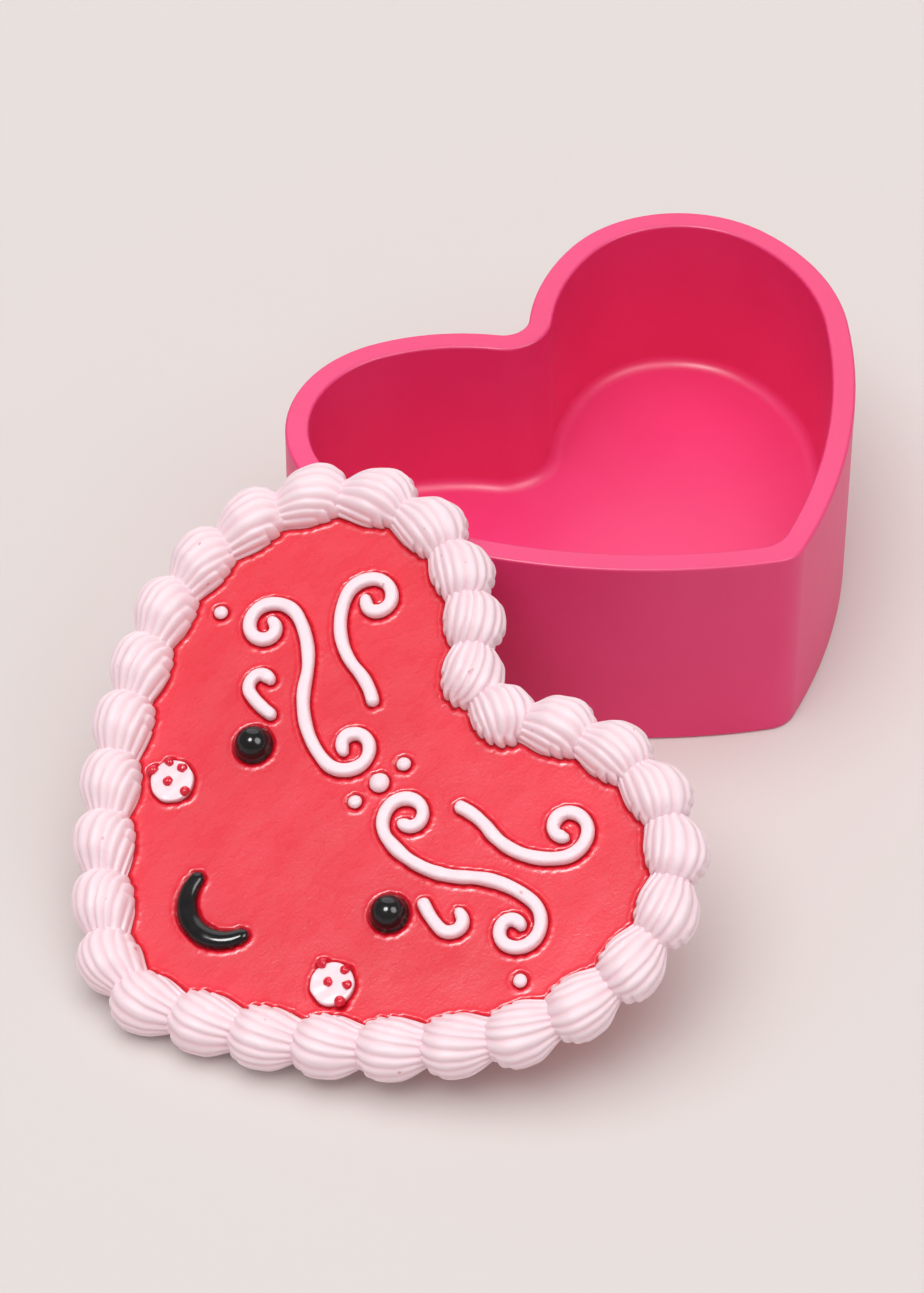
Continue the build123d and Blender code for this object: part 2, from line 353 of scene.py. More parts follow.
def lid_piece(name, mesh, paint, stands_for=()):
    """An object for a finished mesh in the row frame, riding on the lid."""
    mesh.validate()
    mesh.shade_smooth()
    mesh.materials.append(paint)
    piece = bpy.data.objects.new(name, mesh)
    bpy.context.scene.collection.objects.link(piece)
    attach(piece, "lid")
    if stands_for:
        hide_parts(*stands_for)
    return piece


def new_piece(name, points, faces, paint, stands_for=()):
    """A mesh piece of the lid, from points in the lid's own frame."""
    mesh = bpy.data.meshes.new(name)
    mesh.from_pydata(to_row(points).tolist(), [], faces)
    return lid_piece(name, mesh, paint, stands_for)


def set_attribute(piece, name, values):
    """A number on each point, for the piece's material."""
    attribute = piece.data.attributes.new(name, "FLOAT", "POINT")
    attribute.data.foreach_set("value", np.asarray(values, np.float32))


def ring_faces(rows, columns, closed_ends=True):
    """Quads between rings of points, and a fan point before the first and after the last ring."""
    faces = []
    for row in range(rows - 1):
        for column in range(columns):
            a = row * columns + column
            b = row * columns + (column + 1) % columns
            faces.append((a, b, b + columns, a + columns))
    if closed_ends:
        south, north = rows * columns, rows * columns + 1
        top = (rows - 1) * columns
        for column in range(columns):
            after = (column + 1) % columns
            faces.append((south, after, column))
            faces.append((north, top + column, top + after))
    return faces


def turned(profile, segments):
    """Points and faces of a shape turned about Z from (radius, height) pairs, poles at the ends."""
    inner = profile[1:-1]
    angles = 2 * math.pi * np.arange(segments) / segments
    rings = [np.stack([radius * np.cos(angles), radius * np.sin(angles), np.full(segments, z)], 1)
             for radius, z in inner]
    points = np.concatenate(rings + [[(0, 0, profile[0][1])], [(0, 0, profile[-1][1])]])
    return points, ring_faces(len(inner), segments)


# ==== materials ====

def add(tree, kind, inputs=None, **settings):
    """A shader node with its settings, and its inputs linked or set."""
    node = tree.nodes.new("ShaderNode" + kind)
    for key, value in settings.items():
        setattr(node, key, value)
    for key, value in (inputs or {}).items():
        if isinstance(value, bpy.types.NodeSocket):
            tree.links.new(value, node.inputs[key])
        else:
            node.inputs[key].default_value = value
    return node


def new_material(name):
    """A material with one Principled shader: (material, its tree, the shader, object coordinates)."""
    made = bpy.data.materials.new(name)
    made.use_nodes = True
    tree = made.node_tree
    coordinates = add(tree, "TexCoord").outputs["Object"]
    return made, tree, tree.nodes["Principled BSDF"], coordinates


def noise(tree, coordinates, scale, detail=2.0, roughness=0.5, stretch=(1, 1, 1), turn=0.0):
    """Noise in object space, bumps of about 1 / scale metres."""
    placed = add(tree, "Mapping", {"Vector": coordinates, "Scale": stretch,
                                   "Rotation": (0, 0, math.radians(turn))})
    texture = add(tree, "TexNoise", {"Vector": placed.outputs["Vector"], "Scale": scale,
                                     "Detail": detail, "Roughness": roughness})
    return texture.outputs["Fac"]


def ramp(tree, value, low, high, to_low=0.0, to_high=1.0):
    """Map a value's range low..high to to_low..to_high."""
    return add(tree, "MapRange", {"Value": value, "From Min": low, "From Max": high,
                                  "To Min": to_low, "To Max": to_high}).outputs["Result"]


def spread(tree, value, to_low=0.0, to_high=1.0):
    """Stretch the middle band of a noise over to_low..to_high."""
    return ramp(tree, value, *NOISE_BAND, to_low, to_high)


def blend(tree, share, first, second):
    """A colour between first and second."""
    mix = add(tree, "Mix", data_type="RGBA")
    tree.links.new(share, mix.inputs["Factor"])
    sockets = [s for s in mix.inputs if s.type == "RGBA"]
    for socket, colour in zip(sockets, (first, second)):
        if isinstance(colour, bpy.types.NodeSocket):
            tree.links.new(colour, socket)
        else:
            socket.default_value = colour
    return next(s for s in mix.outputs if s.type == "RGBA")


def bump(tree, shader, layers):
    """Stack bump layers (height, strength, distance in metres) on the shader's normal."""
    normal = None
    for height, strength, distance in layers:
        inputs = {"Height": height, "Strength": strength, "Distance": distance}
        if normal is not None:
            inputs["Normal"] = normal
        normal = add(tree, "Bump", inputs).outputs["Normal"]
    tree.links.new(normal, shader.inputs["Normal"])


def paint_resin():
    """Satin hot-pink casting: a soft cloudy tone and faint orange peel."""
    made, tree, shader, coordinates = new_material("box_resin")
    clouds = noise(tree, coordinates, 28, 3.0)
    tone = blend(tree, spread(tree, clouds), RESIN_DEEP, RESIN_PALE)
    tree.links.new(tone, shader.inputs["Base Color"])
    grain = noise(tree, coordinates, 1400, 2.0)
    tree.links.new(spread(tree, clouds, 0.38, 0.46), shader.inputs["Roughness"])
    peel = noise(tree, coordinates, 240, 2.0)
    bump(tree, shader, [(peel, 0.25, 0.12 * MM), (grain, 0.2, 0.04 * MM)])
    return made


def paint_glaze():
    """Glossy red brushed-on glaze: fine strokes, orange peel, and painted shade darkening the grooves.
    """
    made, tree, shader, coordinates = new_material("lid_glaze")
    clouds = noise(tree, coordinates, 45, 4.0)
    tone = blend(tree, spread(tree, clouds), GLAZE_DEEP, GLAZE_PALE)
    mottle = noise(tree, coordinates, 1700, 3.0, 0.6)
    tone = blend(tree, ramp(tree, mottle, 0.45, 0.75, 0.0, 0.25), tone, GLAZE_MOTTLE)
    # painted shade: the glaze turns darker towards the bottom of the groove round each raised piece
    groove_shade = add(tree, "Attribute", attribute_name="groove_shade").outputs["Fac"]
    tone = blend(tree, groove_shade, tone, GLAZE_GROOVE_SHADE)
    tree.links.new(tone, shader.inputs["Base Color"])
    strokes = noise(tree, coordinates, 420, 3.0, 0.55, (0.22, 1.0, 1.0), 35)
    peel = noise(tree, coordinates, 700, 2.0)
    grain = noise(tree, coordinates, 2000, 2.0, 0.6)
    tree.links.new(spread(tree, strokes, 0.25, 0.31), shader.inputs["Roughness"])
    bump(tree, shader, [(strokes, 0.04, 0.10 * MM), (peel, 0.35, 0.06 * MM), (grain, 0.7, 0.05 * MM)])
    shader.inputs["Coat Weight"].default_value = 0.15
    shader.inputs["Coat Roughness"].default_value = 0.12
    return made


def paint_icing():
    """Pale pink piped paint, satin, with the odd pinhole; painted shade makes it darker and pinker down
    in the grooves and in the pinholes.
    """
    made, tree, shader, coordinates = new_material("icing")
    crest = add(tree, "Attribute", attribute_name="crest").outputs["Fac"]
    clouds = noise(tree, coordinates, 160, 3.0)
    tone = blend(tree, spread(tree, clouds), ICING_PALE, ICING_WARM)
    # painted shade: darker, pinker colour where the crest is low, in the ridges' grooves
    tone = blend(tree, ramp(tree, crest, 0.0, 0.75, 1.0, 0.0), tone, ICING_GROOVE_SHADE)
    pinholes = noise(tree, coordinates, 650, 0.0)
    holes = ramp(tree, pinholes, 0.84, 0.87)
    # painted shade: the pinholes are also coloured darker
    tone = blend(tree, holes, tone, ICING_PINHOLE_SHADE)
    tree.links.new(tone, shader.inputs["Base Color"])
    grain = noise(tree, coordinates, 900, 3.0)
    tree.links.new(spread(tree, grain, 0.46, 0.56), shader.inputs["Roughness"])
    sunk = ramp(tree, holes, 0.0, 1.0, 1.0, 0.0)
    soft = noise(tree, coordinates, 260, 2.0)
    bump(tree, shader, [(soft, 0.25, 0.12 * MM), (grain, 0.15, 0.03 * MM), (sunk, 0.6, 0.15 * MM)])
    shader.inputs["Subsurface Weight"].default_value = 0.12
    shader.inputs["Subsurface Radius"].default_value = (1.0, 0.45, 0.4)
    shader.inputs["Subsurface Scale"].default_value = 1.5 * MM
    return made


def paint_cheek():
    """The cheeks' pale pink, smoother than the piping."""
    made, tree, shader, coordinates = new_material("cheek_icing")
    clouds = noise(tree, coordinates, 420, 3.0)
    tree.links.new(blend(tree, spread(tree, clouds), ICING_PALE, ICING_WARM),
                   shader.inputs["Base Color"])
    tree.links.new(spread(tree, clouds, 0.3, 0.4), shader.inputs["Roughness"])
    bump(tree, shader, [(clouds, 0.3, 0.1 * MM)])
    return made


def paint_black():
    """Glossy black paint with a slightly uneven skin."""
    made, tree, shader, coordinates = new_material("black_gloss")
    clouds = noise(tree, coordinates, 350, 3.0)
    tree.links.new(blend(tree, spread(tree, clouds), BLACK_DEEP, BLACK_PALE),
                   shader.inputs["Base Color"])
    tree.links.new(spread(tree, clouds, 0.1, 0.2), shader.inputs["Roughness"])
    bump(tree, shader, [(noise(tree, coordinates, 500, 1.0), 0.2, 0.08 * MM)])
    shader.inputs["IOR"].default_value = 1.45
    return made


def paint_drops():
    """Clear bright red drops."""
    made, tree, shader, coordinates = new_material("red_drops")
    clouds = noise(tree, coordinates, 600, 2.0)
    tree.links.new(blend(tree, spread(tree, clouds), DROP_DEEP, DROP_PALE),
                   shader.inputs["Base Color"])
    tree.links.new(spread(tree, clouds, 0.08, 0.18), shader.inputs["Roughness"])
    bump(tree, shader, [(clouds, 0.3, 0.1 * MM)])
    shader.inputs["Coat Weight"].default_value = 0.2
    return made


# ==== piped border ====

def shell_radius(x, pitch):
    """Half width of a shell at x from its head's middle towards the next head."""
    neck = pitch - SHELL_NECK_SHORT
    end = SHELL_NECK * SHELL_END_SHARE
    narrows, narrowed = (share * neck for share in SHELL_TAPER)
    front = SHELL_HEAD * np.sqrt(np.clip(1 - (np.minimum(x, 0) / SHELL_HEAD) ** 2, 0, 1))
    taper = SHELL_HEAD + (SHELL_NECK - SHELL_HEAD) * smooth(narrows, narrowed, x)
    back = SHELL_NECK * np.sqrt(np.clip(1 - (np.maximum(x - neck, 0) / end) ** 2, 0, 1))
    return np.where(x < 0, front, np.where(x < neck, taper, back))


def shell_outside(points, pitch):
    """Above zero outside the smooth shell, below zero inside it."""
    x, y, z = points[..., 0], points[..., 1], points[..., 2]
    along = smooth(0, pitch, x)
    across = np.hypot(y - SHELL_DRIFT * along, z + SHELL_SINK * along)
    return across - shell_radius(x, pitch)


def ridge_tips(points, shift):
    """Where the ridges end in rounded tips round the foot of the head, and how deep they cut in.

    The tips run from the head's outer side round its front, and over the plate they also stand out.
    """
    bearing = np.degrees(np.arctan2(-points[:, 0], points[:, 1]))
    around = smooth(*TIP_START, bearing) * (1 - smooth(*TIP_END, bearing))
    low = 1 - smooth(*TIP_LEVEL, points[:, 2] - TIP_LEVEL_RISE * np.cos(np.radians(bearing)))
    notch = 1 - np.abs(np.cos(math.pi * (bearing / TIP_SPACING + shift))) ** TIP_ROUNDNESS
    over_plate = 1 - smooth(*TIP_PLATE_END, bearing)
    return around * low, notch, TIP_DEPTH * notch - TIP_PUSH * over_plate * (1 - notch)


def fan(angles, first, second):
    """Unit ways turned by the given angles from first towards second."""
    return np.cos(angles)[..., None] * first + np.sin(angles)[..., None] * second


def reach(core, ways, pitch):
    """Distance from the core to the smooth shell's surface along unit ways."""
    near, far = np.zeros(len(ways)), np.full(len(ways), 4 * SHELL_HEAD)
    for _ in range(BISECTIONS):
        middle = (near + far) / 2
        out = shell_outside(core + ways * middle[:, None], pitch) > 0
        far = np.where(out, middle, far)
        near = np.where(out, near, middle)
    return near


def shell_axes(pitch, rng):
    """The line that a shell's ridges share: a point on it, its way, and two ways across it."""
    tail = np.array(TAIL_PLACE) + (pitch, 0, 0)
    curl = np.array(CURL_PLACE) + rng.normal(0, CURL_SCATTER, 3)
    axis = tail - curl
    span = np.linalg.norm(axis)
    axis /= span
    side = np.cross(axis, (0, 0, 1))
    side /= np.linalg.norm(side)
    return curl + axis * span * CORE_SHARE, axis, side, np.cross(side, axis)


def even_angles(core, side, lift, pitch, phase):
    """Angles round a shell's axis that share its girth evenly, one for each phase from 0 to 1."""
    fine = np.linspace(0, 2 * math.pi, GIRDLE_STEPS)
    ways = fan(fine, side, lift)
    girdle = ways * reach(core, ways, pitch)[:, None]
    length = np.concatenate([[0], np.cumsum(np.linalg.norm(np.diff(girdle, axis=0), axis=1))])
    return np.interp(phase, length / length[-1], fine)


def shell_surface(pitch, seed):
    """Points and crest heights of one ridged shell: rows from its tail round to its curled head.

    The ridges lie in planes through one line, from the tail to where the head curls in.
    """
    rng = np.random.default_rng(seed)
    core, axis, side, lift = shell_axes(pitch, rng)
    columns = RIDGE_COUNT * RIDGE_COLUMNS
    phase = np.arange(columns) / columns
    angles = even_angles(core, side, lift, pitch, phase)
    uneven = sum(size * np.sin(2 * math.pi * (waves * phase + rng.uniform()))
                 for size, waves in RIDGE_UNEVEN)
    polar = math.pi * (np.arange(1, SHELL_ROWS) / SHELL_ROWS)
    grid_polar, grid_angle = np.meshgrid(polar, angles, indexing="ij")
    grid_phase = np.broadcast_to(phase + uneven, grid_polar.shape)
    ways = fan(grid_polar, axis, fan(grid_angle, side, lift)).reshape(-1, 3)
    distance = reach(core, ways, pitch)
    off_axis = distance * np.sin(grid_polar).ravel()
    twist = rng.uniform(*RIDGE_TWIST) * (grid_polar.ravel() / math.pi)
    turn = RIDGE_COUNT * (grid_phase.ravel() + twist) + rng.uniform()
    crest = np.sqrt(np.cos(math.pi * turn) ** 2 + RIDGE_ROUNDING)
    crest = (crest - crest.min()) / (crest.max() - crest.min())
    depth = RIDGE_DEPTH * rng.uniform(*RIDGE_DEPTH_VARIES) * smooth(*RIDGE_ONSET, off_axis)
    skin = core + ways * distance[:, None]
    tipped, notch, cut = ridge_tips(skin, rng.uniform(*TIP_SHIFT))
    sunk = depth * (1 - crest) * (1 - tipped) + tipped * cut
    points = skin - ways * sunk[:, None]
    # crest is low in the grooves and between the tips, where the icing paints shade
    crest = crest * (1 - tipped) + (1 - notch) * tipped
    points += ways * (SHELL_WOBBLE * wobble(points, SHELL_WOBBLE_SIZE, seed))[:, None]
    poles = [core + way * reach(core, way[None], pitch)[0] for way in (axis, -axis)]
    return np.vstack([points, poles]), np.concatenate([crest, [0.5, 0.5]])


def make_shells(paint):
    """The 30 piped shells; returns all their points in the lid's frame."""
    outline = heart_outline()
    shares = (np.arange(SHELL_COUNT) + 0.5) / SHELL_COUNT
    lag = SHELL_LAG * np.exp(-((shares - SHELL_LAG_AT) / SHELL_LAG_SPAN) ** 2)
    spots = walk(outline, shares - lag)
    faces = ring_faces(SHELL_ROWS - 1, RIDGE_COUNT * RIDGE_COLUMNS)
    cloud = []
    for i, spot in enumerate(spots):
        after = spots[(i + 1) % SHELL_COUNT]
        points, crest = shell_surface(abs(after - spot), i + 1)
        turn = (after - spot) / abs(after - spot)
        flat = spot + (points[:, 0] + 1j * points[:, 1]) * turn
        points = np.stack([flat.real, flat.imag, points[:, 2] + SHELL_RAISE], 1)
        node = f"shell_{i + 1:02d}"
        piece = new_piece("piped_" + node, points, faces, paint, [node])
        set_attribute(piece, "crest", crest)
        cloud.append(points)
    return np.vstack(cloud)


# ==== face and scroll ====

def piped(path, half_width, height, seed, rough=BEAD_ROUGH, flat=BEAD_FLAT):
    """A piped bead along a flat path: points and faces, closed, with round ends.

    rough is how much its width wavers. flat is 1 for a round arch, and less for a flatter top.
    """
    length = np.concatenate([[0], np.cumsum(np.abs(np.diff(path)))])
    along = np.gradient(path)
    along /= np.abs(along)
    wavers = wobble(np.stack([path.real, path.imag], 1), BEAD_ROUGH_SIZE, seed)
    widths = half_width * (1 + rough * wavers)
    from_end = np.minimum(length, length[-1] - length)
    cap = np.sqrt(np.clip(1 - (1 - np.clip(from_end / half_width.clip(1e-6), 0, 1)) ** 2, 0.0004, 1))
    angles = math.pi * np.arange(BEAD_STEPS) / (BEAD_STEPS - 1)
    arch = np.sign(np.cos(angles)) * np.abs(np.cos(angles)) ** flat
    arch_height = np.clip(np.sin(angles), 0, 1) ** flat
    foot = np.linspace(-BEAD_FOOT_SHARE, BEAD_FOOT_SHARE, BEAD_FOOT_POINTS)
    foot_height = np.full(BEAD_FOOT_POINTS, -BEAD_FOOT_DEPTH)
    offsets = np.concatenate([arch, foot])
    rows = []
    for point, way, width, round_end in zip(path, along, widths, cap):
        across = point - 1j * way * offsets * width * round_end
        end_rise = BEAD_END_RISE + (1 - BEAD_END_RISE) * round_end
        crown = arch_height * height * end_rise * width / half_width.max()
        rows.append(np.stack([across.real, across.imag, np.concatenate([crown, foot_height])], 1))
    ends = [rows[0].mean(0), rows[-1].mean(0)]
    return np.vstack(rows + [ends]), ring_faces(len(rows), len(offsets))


def stroke_path(start, heading, arcs):
    """Points along a chain of tangent arcs, about OUTLINE_STEP apart."""
    point, heading = complex(*start) * MM, math.radians(heading)
    points = []
    for radius, turn in arcs:
        radius, turn = radius * MM, math.radians(turn)
        side = math.copysign(1, turn)
        centre = point + side * 1j * radius * cmath.exp(1j * heading)
        count = max(3, int(radius * abs(turn) / OUTLINE_STEP))
        spoke = point - centre
        points += [centre + spoke * cmath.exp(1j * turn * i / count) for i in range(count)]
        point = centre + spoke * cmath.exp(1j * turn)
        heading += turn
    return np.array(points + [point])


def make_scroll(paint):
    """The piped scroll: each stroke and its mirror image."""
    cloud = []
    for order, (name, shape) in enumerate(STROKES.items()):
        right = stroke_path(*shape)
        for side, path in (("right", right), ("left", -np.conj(right))):
            seed = STROKE_SEED + 2 * order + (side == "left")
            half_width = np.full(len(path), STROKE_WIDTH / 2)
            points, faces = piped(path, half_width, STROKE_HEIGHT, seed)
            if side == "left":
                faces = [tuple(reversed(face)) for face in faces]
            node = f"{name}_{side}"
            piece = new_piece("piped_" + node, points, faces, paint, [node])
            set_attribute(piece, "crest", np.ones(len(points)))
            cloud.append(points)
    return np.vstack(cloud)


def node_spot(node):
    """Middle of a CAD node's box in the lid's frame, and half its size each way."""
    points = np.array([TO_LID @ v.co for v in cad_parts[node].data.vertices])
    low, high = points.min(0), points.max(0)
    return (low + high) / 2, (high - low) / 2


def lean_peak(points, radius, seed):
    """A dot's points with its peak pulled aside and its outline a little uneven."""
    rise = smooth(0, radius, points[:, 2])
    across, along = PEARL_LEAN
    points = points + np.outer(rise ** 2, (across * radius, along * radius, 0))
    wavers = wobble(points, PEARL_WOBBLE_SHARE * radius, seed)
    points[:, :2] *= (1 + PEARL_WOBBLE * wavers)[:, None]
    return points


def make_pearls(paint):
    """Piped dots, each with the small peak that the nozzle leaves."""
    cloud = []
    for order, name in enumerate(("top", "centre", "bottom", "left", "right")):
        node = f"pearl_{name}"
        middle, half = node_spot(node)
        radius = half[0]
        profile = [(0, -PEARL_FOOT), (PEARL_FOOT_SHARE * radius, -PEARL_FOOT),
                   (PEARL_BASE_SHARE * radius, 0.0)]
        for angle in np.radians(np.arange(8, 90, 8)):
            profile.append((radius * math.cos(angle) ** PEARL_SHOULDER,
                            radius * PEARL_RISE * math.sin(angle)))
        profile.append((0, radius * PEARL_PEAK))
        points, faces = turned(profile, PEARL_SEGMENTS)
        points = lean_peak(points, radius, PEARL_SEED + order)
        points = points + (middle[0], middle[1], 0)
        piece = new_piece("piped_" + node, points, faces, paint, [node])
        set_attribute(piece, "crest", np.ones(len(points)))
        cloud.append(points)
    return np.vstack(cloud)


def make_smile(paint):
    """The crescent smile, a bead that swells towards the middle."""
    span = np.radians(np.linspace(-SMILE_HALF_SPAN, SMILE_HALF_SPAN, SMILE_STEPS))
    outer = SMILE_OUTER_RADIUS * (np.sin(span) - 1j * np.cos(span))
    inner = SMILE_INNER_RADIUS * (np.sin(span) - 1j * np.cos(span)) + 1j * SMILE_INNER_RAISE
    middle = (outer + inner) / 2
    taper = 1 - SMILE_TAPER * np.linspace(-1, 1, len(span)) ** 2
    swell = np.abs(outer - inner) / 2 * taper
    away = np.linspace(SMILE_END_NEAR, SMILE_END_FAR, SMILE_END_STEPS)
    back = np.linspace(SMILE_END_FAR, SMILE_END_NEAR, SMILE_END_STEPS)
    starts = middle[0] + (middle[0] - middle[1]) * back
    ends = middle[-1] + (middle[-1] - middle[-2]) * away
    path = np.concatenate([starts, middle, ends]) + 1j * SMILE_Y
    half_width = np.concatenate([np.full(SMILE_END_STEPS, swell[0]), swell,
                                 np.full(SMILE_END_STEPS, swell[-1])])
    points, faces = piped(path, half_width, SMILE_HEIGHT, SMILE_SEED, SMILE_ROUGH, SMILE_FLAT)
    new_piece("smile_bead", points, faces, paint, ["smile"])
    return points


def make_eyes(paint):
    """Two round glossy beads, each with a thin foot ring."""
    cloud = []
    for side, sign in (("left", -1), ("right", 1)):
        profile = [(0, -EYE_FOOT), (EYE_RADIUS * EYE_FOOT_SHARE, -EYE_FOOT),
                   (EYE_RADIUS, -EYE_FOOT_BEVEL), (EYE_RADIUS, EYE_COLLAR * EYE_COLLAR_FOOT),
                   (EYE_RADIUS - EYE_COLLAR_STEP, EYE_COLLAR)]
        for angle in np.radians(np.arange(2, 90, 4)):
            profile.append(((EYE_RADIUS - EYE_DOME_INSET) * math.cos(angle),
                            EYE_COLLAR + (EYE_RADIUS + EYE_RAISE - EYE_COLLAR) * math.sin(angle)))
        profile.append((0, EYE_RADIUS + EYE_RAISE))
        points, faces = turned(profile, EYE_SEGMENTS)
        wavers = wobble(points, EYE_WOBBLE_SIZE, EYE_SEED + sign)
        points = points * (1 + EYE_WOBBLE * wavers)[:, None]
        points = points + (sign * EYE_X, EYE_Y, 0)
        new_piece(f"eye_bead_{side}", points, faces, paint,
                  [f"eye_{side}"])
        cloud.append(points)
    return np.vstack(cloud)


def uneven_disc(points, seed):
    """A cheek's points with a wavering outline and a slightly wavy top."""
    points = points.copy()
    angle = np.arctan2(points[:, 1], points[:, 0])
    ring = np.stack([np.cos(angle), np.sin(angle)], 1)
    wavers = wobble(ring, CHEEK_OUTLINE_WOBBLE_SIZE, seed)
    points[:, :2] *= (1 + CHEEK_OUTLINE_WOBBLE * wavers)[:, None]
    waves = wobble(points[:, :2], CHEEK_TOP_WOBBLE_SIZE, seed)
    points[:, 2] += np.where(points[:, 2] > CHEEK_HEIGHT / 2, CHEEK_TOP_WOBBLE, 0) * waves
    return points


def make_cheeks(paint, drop_paint):
    """Two low uneven discs, each with five small irregular drops."""
    cloud = []
    for side in ("left", "right"):
        middle, half = node_spot(f"cheek_{side}")
        radius = half[0] * CHEEK_SHARE
        seed = CHEEK_SEED + (side == "left")
        profile = [(0, -CHEEK_FOOT), (radius * CHEEK_FOOT_SHARE, -CHEEK_FOOT), (radius, -CHEEK_FOOT)]
        for angle in np.radians(np.arange(0, 91, 15)):
            profile.append((radius - CHEEK_EDGE + CHEEK_EDGE * math.cos(angle),
                            CHEEK_HEIGHT - CHEEK_EDGE + CHEEK_EDGE * math.sin(angle)))
        profile += [(radius * share, CHEEK_HEIGHT) for share in CHEEK_RINGS]
        profile.append((0, CHEEK_HEIGHT))
        points, faces = turned(profile, CHEEK_SEGMENTS)
        points = uneven_disc(points, seed) + (middle[0], middle[1], 0)
        new_piece(f"cheek_disc_{side}", points, faces, paint,
                  [f"cheek_{side}"])
        cloud.append(points)
        for i in range(1, DROPS_PER_CHEEK + 1):
            cloud.append(make_drop(f"sprinkle_{side}_{i}", seed * 10 + i, drop_paint))
    return np.vstack(cloud)


def make_drop(node, seed, paint):
    """One small red drop: a rounded lump with a few flats."""
    rng = np.random.default_rng(seed)
    middle, half = node_spot(node)
    radius = half[0] * rng.uniform(*DROP_GROWTH)
    angles = np.radians(np.linspace(-90, 90, DROP_ROWS))
    profile = [(radius * math.cos(a), radius * DROP_HEIGHT_SHARE * math.sin(a)) for a in angles]
    points, faces = turned(profile, DROP_SEGMENTS)
    for _ in range(DROP_FLATS):
        way = rng.normal(size=3)
        way /= np.linalg.norm(way)
        over = np.maximum(points @ way - radius * rng.uniform(*DROP_FLAT_FROM), 0)
        points = points - np.outer(over * DROP_FLAT_SHARE, way)
    points = points + (middle[0], middle[1], CHEEK_HEIGHT)
    new_piece("drop_" + node, points, faces, paint, [node])
    return points


# ==== plate ====

def inside(outline, points):
    """True for points inside an outline that can be seen whole from its middle."""
    angle = np.angle(outline)
    order = np.argsort(angle)
    edge = np.interp(np.angle(points), angle[order], np.abs(outline)[order], period=2 * math.pi)
    return np.abs(points) < edge


def groove_height(distance):
    """Height of the glaze beside a raised piece, and how deep in the groove it is, from 0 to 1."""
    deep = 1 - smooth(GROOVE_FLOOR, GROOVE_REACH, distance)
    lip = np.exp(-((distance - GROOVE_REACH - LIP_WIDTH) / LIP_WIDTH) ** 2)
    return LIP_HEIGHT * lip - GROOVE_DEPTH * deep, deep


def plate_grid(edge):
    """Square cells inside an outline: their corners as complex numbers, and their faces."""
    low = np.array([edge.real.min(), edge.imag.min()])
    high = np.array([edge.real.max(), edge.imag.max()])
    counts = np.ceil((high - low) / PLATE_CELL).astype(int) + 1
    xs, ys = (low[k] + PLATE_CELL * np.arange(counts[k]) for k in (0, 1))
    grid = (xs[None, :] + 1j * ys[:, None]).ravel()
    kept = inside(edge, grid)
    number = np.full(len(grid), -1)
    number[kept] = np.arange(kept.sum())
    number = number.reshape(len(ys), len(xs))
    corners = np.stack([number[:-1, :-1], number[:-1, 1:], number[1:, 1:], number[1:, :-1]], -1)
    faces = corners.reshape(-1, 4)
    return grid[kept], faces[(faces >= 0).all(1)]


def gap_to(cloud, spots):
    """Distance on the flat from each spot to the nearest raised piece's foot."""
    near = cloud[(cloud[:, 2] > CONTACT_LOW) & (cloud[:, 2] < CONTACT_HIGH)]
    tree = kdtree.KDTree(len(near))
    for i, (x, y, _) in enumerate(near):
        tree.insert((x, y, 0), i)
    tree.balance()
    return np.array([tree.find((x, y, 0))[2] for x, y in spots])


def snap(vertices, edge, normals, out, z):
    """Move vertices to the outline's nearest point, then outwards by out, at height z."""
    for vertex in vertices:
        spot = np.argmin(np.abs(edge - complex(vertex.co.x, vertex.co.y)))
        place = edge[spot] + normals[spot] * out
        vertex.co = (place.real, place.imag, z)


def add_sides(solid, edge, layer):
    """The plate's rounded sides and flat underside, drawn down from its top's edge."""
    rim = [e for e in solid.edges if e.is_boundary]
    normals = np.gradient(np.append(edge, edge[0]))[:-1] * -1j
    normals /= np.abs(normals)
    snap({v for e in rim for v in e.verts}, edge, normals, 0, 0)
    bevel = PLATE_EDGE * (1 - EDGE_ROUNDING)
    inner = PLATE_EDGE * EDGE_ROUNDING
    steps = [(bevel, -inner), (PLATE_EDGE, -PLATE_EDGE), (PLATE_EDGE, PLATE_EDGE - PLATE_THICKNESS),
             (bevel, inner - PLATE_THICKNESS), (0, -PLATE_THICKNESS)]
    for out, z in steps:
        made = bmesh.ops.extrude_edge_only(solid, edges=rim)["geom"]
        rim = [g for g in made if isinstance(g, bmesh.types.BMEdge)]
        corners = [g for g in made if isinstance(g, bmesh.types.BMVert)]
        snap(corners, edge, normals, out, z)
        for vertex in corners:
            vertex[layer] = 0
    bmesh.ops.holes_fill(solid, edges=rim, sides=0)
    bmesh.ops.recalc_face_normals(solid, faces=solid.faces)


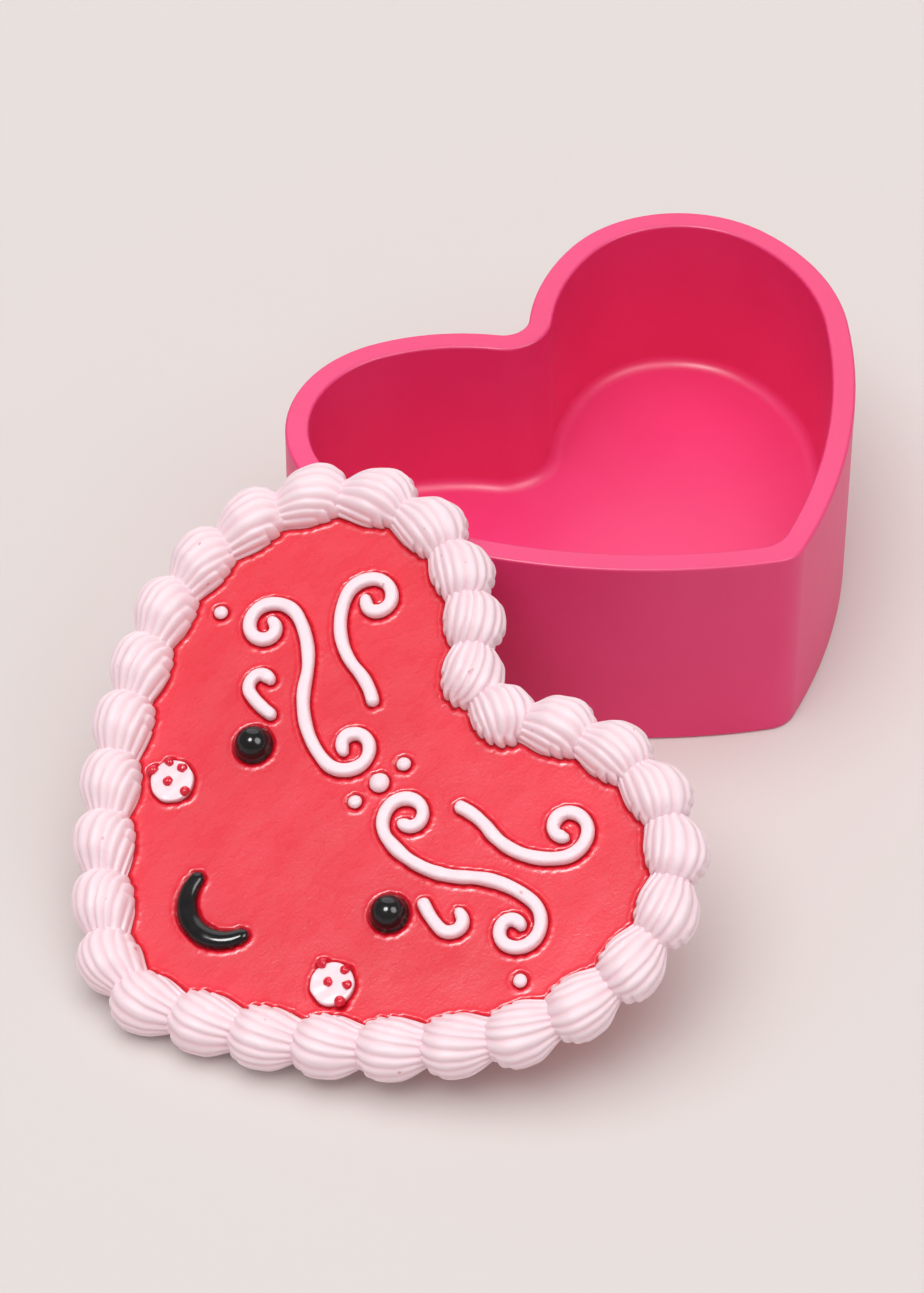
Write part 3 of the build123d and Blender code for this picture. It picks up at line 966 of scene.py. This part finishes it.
def make_plate(paint, cloud):
    """The lid's red plate: a grid top with a groove round each raised piece, and solid sides."""
    edge = heart_outline(PLATE_INSET + PLATE_EDGE)
    flat, faces = plate_grid(edge)
    spots = np.stack([flat.real, flat.imag], 1)
    ragged = GROOVE_RAGGED * wobble(spots, GROOVE_RAGGED_SIZE, RAGGED_SEED)
    height, deep = groove_height(gap_to(cloud, spots) + ragged)
    height += PLATE_WAVE * wobble(spots, PLATE_WAVE_SIZE, WAVE_SEED)
    mesh = bpy.data.meshes.new("plate_top")
    mesh.from_pydata(np.column_stack([spots, height]).tolist(), [], faces.tolist())
    solid = bmesh.new()
    solid.from_mesh(mesh)
    # how deep each top point lies in the groove, which the glaze turns into painted shade
    layer = solid.verts.layers.float.new("groove_shade")
    for vertex, share in zip(solid.verts, deep):
        vertex[layer] = share
    loose = [v for v in solid.verts if not v.link_faces]
    bmesh.ops.delete(solid, geom=loose, context="VERTS")
    add_sides(solid, edge, layer)
    solid.to_mesh(mesh)
    solid.free()
    mesh.transform(LID)
    lid_piece("plate_glazed", mesh, paint, ["lid_plate"])


def make_register(paint):
    """The low heart-shaped step under the plate, which drops into the box."""
    top = -PLATE_THICKNESS + REGISTER_OVERLAP
    foot = -PLATE_THICKNESS - REGISTER_DEPTH
    inner = REGISTER_EDGE * EDGE_ROUNDING
    shares = np.arange(REGISTER_COLUMNS) / REGISTER_COLUMNS
    rings = []
    for inset, z in ((0, top), (0, foot + REGISTER_EDGE), (inner, foot + inner), (REGISTER_EDGE, foot)):
        outline = heart_outline(REGISTER_INSET + inset, REGISTER_TIP_RADIUS - inset)
        flat = walk(outline, shares)
        rings.append(np.stack([flat.real, flat.imag, np.full(REGISTER_COLUMNS, z)], 1))
    rows = len(rings)
    faces = [tuple(reversed(face)) for face in ring_faces(rows, REGISTER_COLUMNS, closed_ends=False)]
    faces.append(tuple(range(REGISTER_COLUMNS)))
    faces.append(tuple(reversed(range((rows - 1) * REGISTER_COLUMNS, rows * REGISTER_COLUMNS))))
    new_piece("plate_register", np.vstack(rings), faces, paint)


# ==== stage ====

def make_floor():
    """A plain pale floor."""
    mesh = bpy.data.meshes.new("floor")
    side = FLOOR_HALF_SIDE
    corners = [(-side, -side, 0), (side, -side, 0), (side, side, 0), (-side, side, 0)]
    mesh.from_pydata(corners, [], [(0, 1, 2, 3)])
    made, _, shader, _ = new_material("floor")
    shader.inputs["Base Color"].default_value = FLOOR_TONE
    shader.inputs["Emission Color"].default_value = FLOOR_TONE
    shader.inputs["Emission Strength"].default_value = FLOOR_GLOW
    shader.inputs["Roughness"].default_value = 0.9
    shader.inputs["Specular IOR Level"].default_value = 0.1
    mesh.materials.append(made)
    floor = bpy.data.objects.new("floor", mesh)
    bpy.context.scene.collection.objects.link(floor)


def make_sun(name, towards, strength, angle, glint):
    """A soft distant light from the given direction: a glint only shines off glossy paint."""
    data = bpy.data.lights.new(name, "SUN")
    data.energy = strength
    data.angle = math.radians(angle)
    sun = bpy.data.objects.new(name, data)
    sun.visible_diffuse = not glint
    sun.visible_glossy = glint
    bpy.context.scene.collection.objects.link(sun)
    sun.rotation_euler = Vector(towards).to_track_quat("Z", "Y").to_euler()


def make_world(strength):
    """Even pale light from all round."""
    world = bpy.data.worlds.new("studio")
    world.use_nodes = True
    background = world.node_tree.nodes["Background"]
    background.inputs["Color"].default_value = (1, 1, 1, 1)
    background.inputs["Strength"].default_value = strength
    bpy.context.scene.world = world


def make_camera():
    """The camera, turned about the vertical by its heading and looking down on the box."""
    level = math.cos(CAMERA_ELEVATION)
    way = Vector((math.sin(CAMERA_HEADING) * level, math.cos(CAMERA_HEADING) * level,
                  -math.sin(CAMERA_ELEVATION)))
    data = bpy.data.cameras.new("camera")
    data.lens = CAMERA_LENS
    data.sensor_width = CAMERA_SENSOR
    data.clip_end = CAMERA_REACH
    camera = bpy.data.objects.new("camera", data)
    camera.location = CAMERA_TARGET - way * CAMERA_DISTANCE
    camera.rotation_euler = way.to_track_quat("-Z", "Y").to_euler()
    bpy.context.scene.collection.objects.link(camera)
    bpy.context.scene.camera = camera


def carry_over(node, paint):
    """A CAD node that stays, with a finer material."""
    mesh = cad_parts[node].data
    mesh.materials.clear()
    mesh.materials.append(paint)


def main():
    """Build everything in order."""
    make_camera()
    make_floor()
    make_world(WORLD_LIGHT)
    for name, light in SOFT_LIGHTS.items():
        make_sun(name, *light, glint=False)
    for name, light in GLINTS.items():
        make_sun(name, *light, glint=True)
    bpy.context.scene.view_settings.view_transform = "Standard"
    carry_over("box_body", paint_resin())
    icing, glaze, black = paint_icing(), paint_glaze(), paint_black()
    cloud = [make_shells(icing), make_scroll(icing), make_pearls(icing), make_smile(black),
             make_eyes(black), make_cheeks(paint_cheek(), paint_drops())]
    make_plate(glaze, np.vstack(cloud))
    make_register(glaze)


main()
